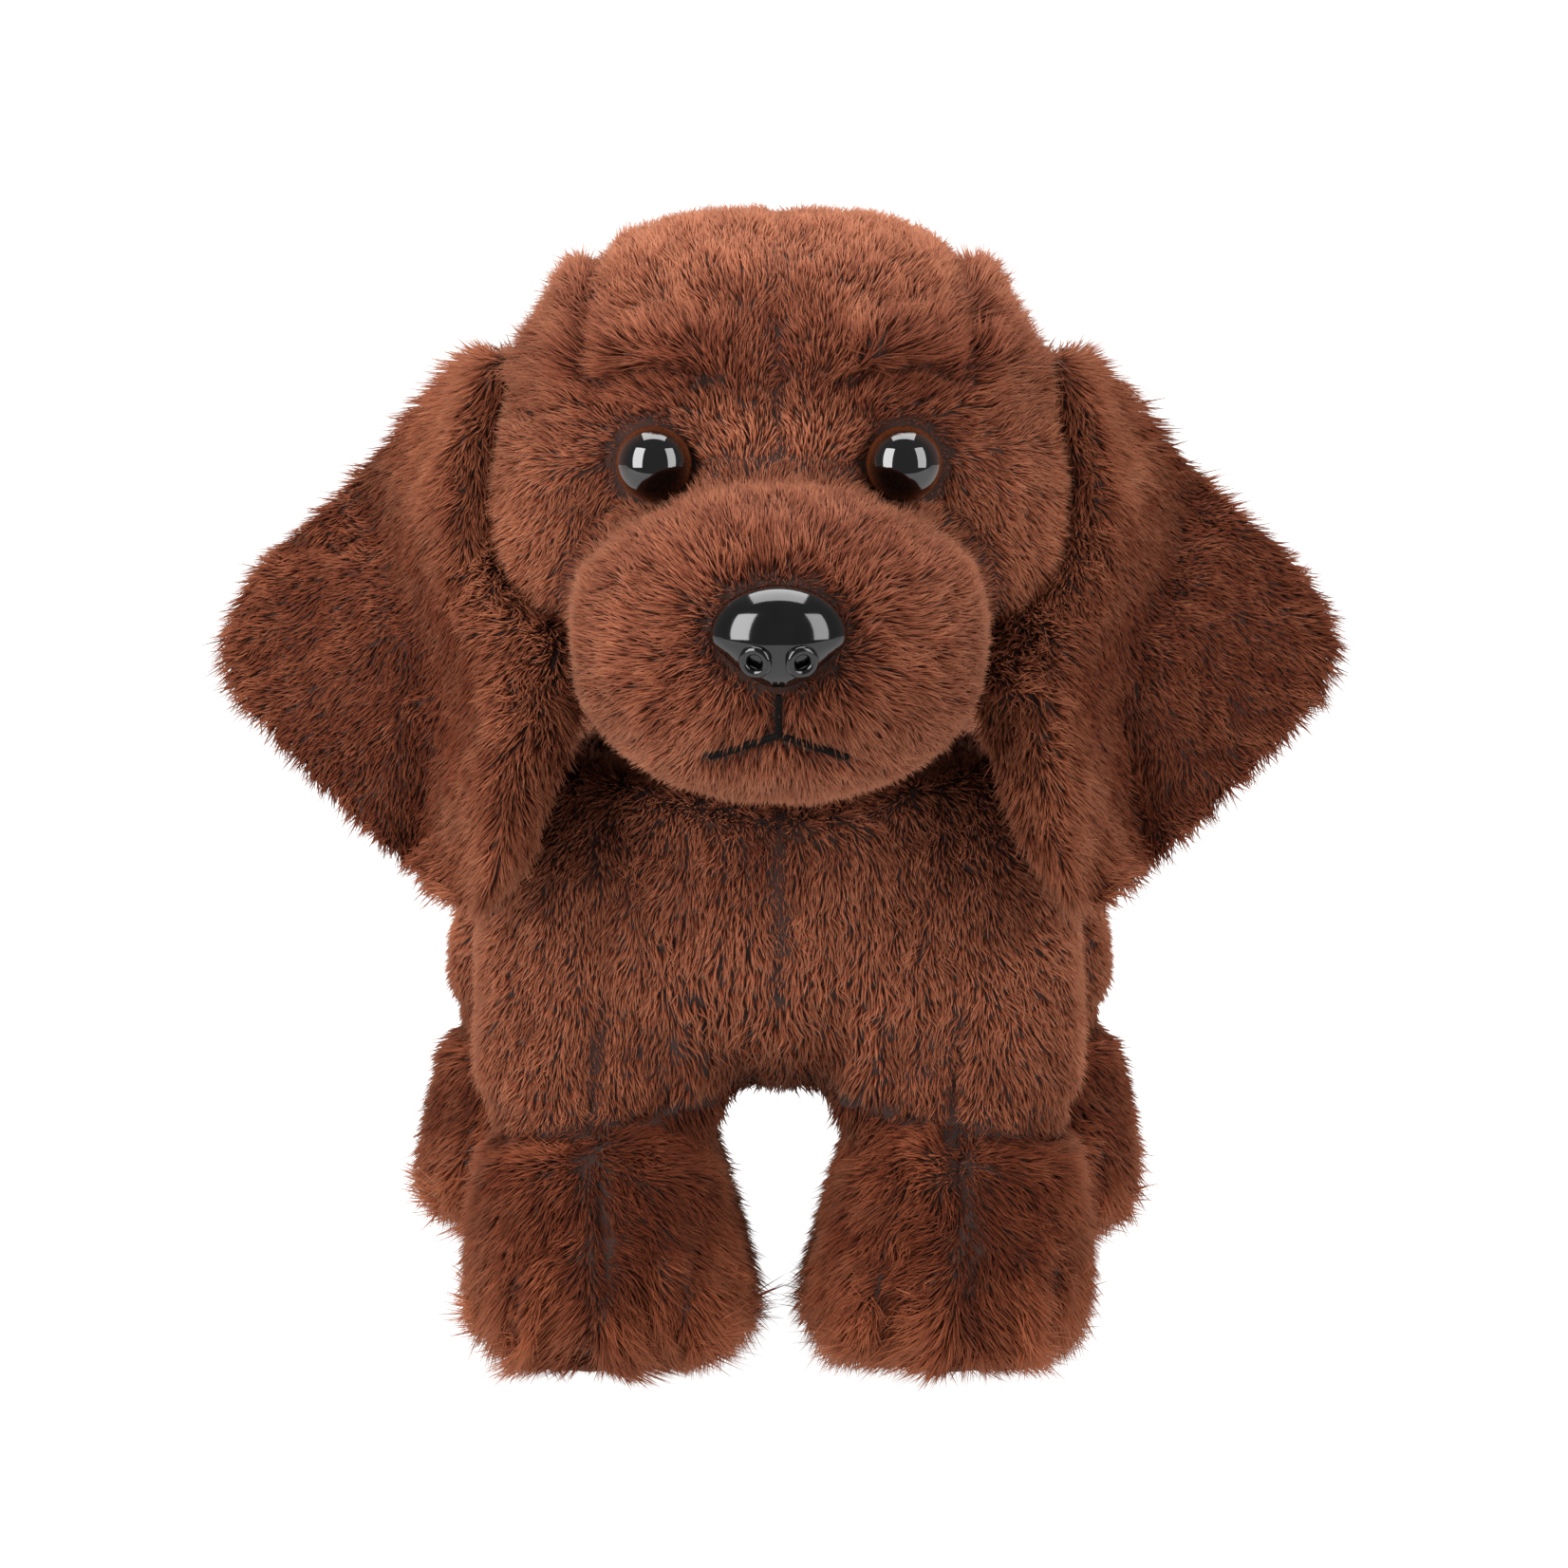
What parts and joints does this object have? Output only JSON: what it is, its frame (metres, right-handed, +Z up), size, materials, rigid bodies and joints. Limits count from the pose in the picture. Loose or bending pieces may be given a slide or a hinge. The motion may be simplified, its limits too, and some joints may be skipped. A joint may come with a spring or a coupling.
{
  "type": "plush dog",
  "caption": "Standing plush puppy with sewn pile-fabric skins over fibre filling, long hanging ears, plastic eyes and nose, and flat soles.",
  "frame": {"origin": "on the floor, under the middle of the toy's outer box", "axes": "+Z up, the nose towards -Y and the tail towards +Y, the dog's left side towards +X"},
  "size_m": [0.2296, 0.3176, 0.234],
  "materials": {
    "short_pile": "matte",
    "long_pile": "matte",
    "ear_pile": "matte",
    "lining_pile": "matte",
    "fibre": "matte",
    "thread": "satin",
    "eye_plastic": "gloss",
    "nose_plastic": "gloss",
    "washer_plastic": "satin"
  },
  "bodies": {
    "torso": {"body_side_left": "short_pile", "body_side_right": "short_pile", "belly": "short_pile", "body_filling": "fibre", "fore_leg_left": "short_pile", "fore_paw_left": "long_pile", "fore_sole_left": "lining_pile", "fore_leg_filling_left": "fibre", "fore_leg_right": "short_pile", "fore_paw_right": "long_pile", "fore_sole_right": "lining_pile", "fore_leg_filling_right": "fibre", "hind_leg_left": "short_pile", "hind_paw_left": "long_pile", "hind_sole_left": "lining_pile", "hind_leg_filling_left": "fibre", "hind_leg_right": "short_pile", "hind_paw_right": "long_pile", "hind_sole_right": "lining_pile", "hind_leg_filling_right": "fibre"},
    "neck": {"neck_filling": "fibre"},
    "head": {"crown_left": "short_pile", "cheek_left": "short_pile", "eye_left": "eye_plastic", "eye_washer_left": "washer_plastic", "crown_right": "short_pile", "cheek_right": "short_pile", "eye_right": "eye_plastic", "eye_washer_right": "washer_plastic", "muzzle": "short_pile", "chin": "short_pile", "nose": "nose_plastic", "nose_washer": "washer_plastic", "head_filling": "fibre", "mouth_embroidery": "thread"},
    "left_ear": {"ear_left": "ear_pile", "ear_lining_left": "lining_pile"},
    "right_ear": {"ear_right": "ear_pile", "ear_lining_right": "lining_pile"},
    "tail": {"tail": "short_pile", "tail_filling": "fibre"}
  },
  "joints": [
    {"name": "head_turn", "type": "hinge", "parent": "torso", "child": "neck", "pos_m": [0, -0.04685, 0.138], "axis": [0, 0, 1], "range_deg": [-12, 12], "stiffness_Nm_per_rad": 0.6},
    {"name": "head_nod", "type": "hinge", "parent": "neck", "child": "head", "pos_m": [0, -0.04685, 0.138], "axis": [1, 0, 0], "range_deg": [-8, 8], "stiffness_Nm_per_rad": 0.8, "springref_deg": -1.43},
    {"name": "left_ear_lift", "type": "hinge", "parent": "head", "child": "left_ear", "pos_m": [0.0625, -0.064, 0.203], "axis": [0, -1, 0], "range_deg": [0, 85]},
    {"name": "right_ear_lift", "type": "hinge", "parent": "head", "child": "right_ear", "pos_m": [-0.0625, -0.064, 0.203], "axis": [0, 1, 0], "range_deg": [0, 85]},
    {"name": "tail_wag", "type": "hinge", "parent": "torso", "child": "tail", "pos_m": [0, 0.0972, 0.118], "axis": [0, 0, 1], "range_deg": [-30, 30], "stiffness_Nm_per_rad": 0.02}
  ]
}
